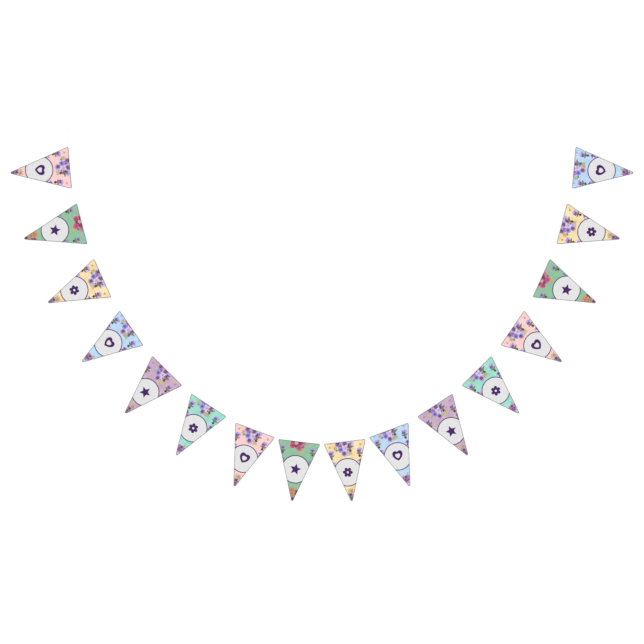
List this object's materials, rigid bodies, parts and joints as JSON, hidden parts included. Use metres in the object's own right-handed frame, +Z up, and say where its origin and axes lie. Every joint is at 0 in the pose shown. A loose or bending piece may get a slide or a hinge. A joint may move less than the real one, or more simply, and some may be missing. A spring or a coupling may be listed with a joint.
{
  "type": "fabric bunting",
  "caption": "Triangular printed cloth pennants in pastel grounds, sewn in a row to one white ribbon and laid out flat in a deep open curve.",
  "frame": {"origin": "middle of the footprint, on the surface that the string lies on", "axes": "+X to the right along the string's span, +Y towards the open side of the curve, +Z up out of the printed faces"},
  "size_m": [2.0546, 1.2603, 0.0032],
  "materials": {
    "pink_cloth": "matt plain-weave cloth with a printed pattern",
    "green_cloth": "matt plain-weave cloth with a printed pattern",
    "cream_cloth": "matt plain-weave cloth with a printed pattern",
    "blue_cloth": "matt plain-weave cloth with a printed pattern",
    "mauve_cloth": "matt plain-weave cloth with a printed pattern",
    "aqua_cloth": "matt plain-weave cloth with a printed pattern",
    "white_ribbon": "satin woven ribbon, soft sheen",
    "edge_thread": "matt twisted thread",
    "seam_thread": "fine matt thread"
  },
  "bodies": {
    "root": {"pennant_01": "pink_cloth", "pennant_02": "green_cloth", "pennant_03": "cream_cloth", "pennant_04": "blue_cloth", "pennant_05": "mauve_cloth", "pennant_06": "aqua_cloth", "pennant_07": "pink_cloth", "pennant_08": "green_cloth", "pennant_09": "cream_cloth", "pennant_10": "blue_cloth", "pennant_11": "mauve_cloth", "pennant_12": "aqua_cloth", "pennant_13": "pink_cloth", "pennant_14": "green_cloth", "pennant_15": "cream_cloth", "pennant_16": "blue_cloth", "ribbon": "white_ribbon"}
  },
  "joints": []
}
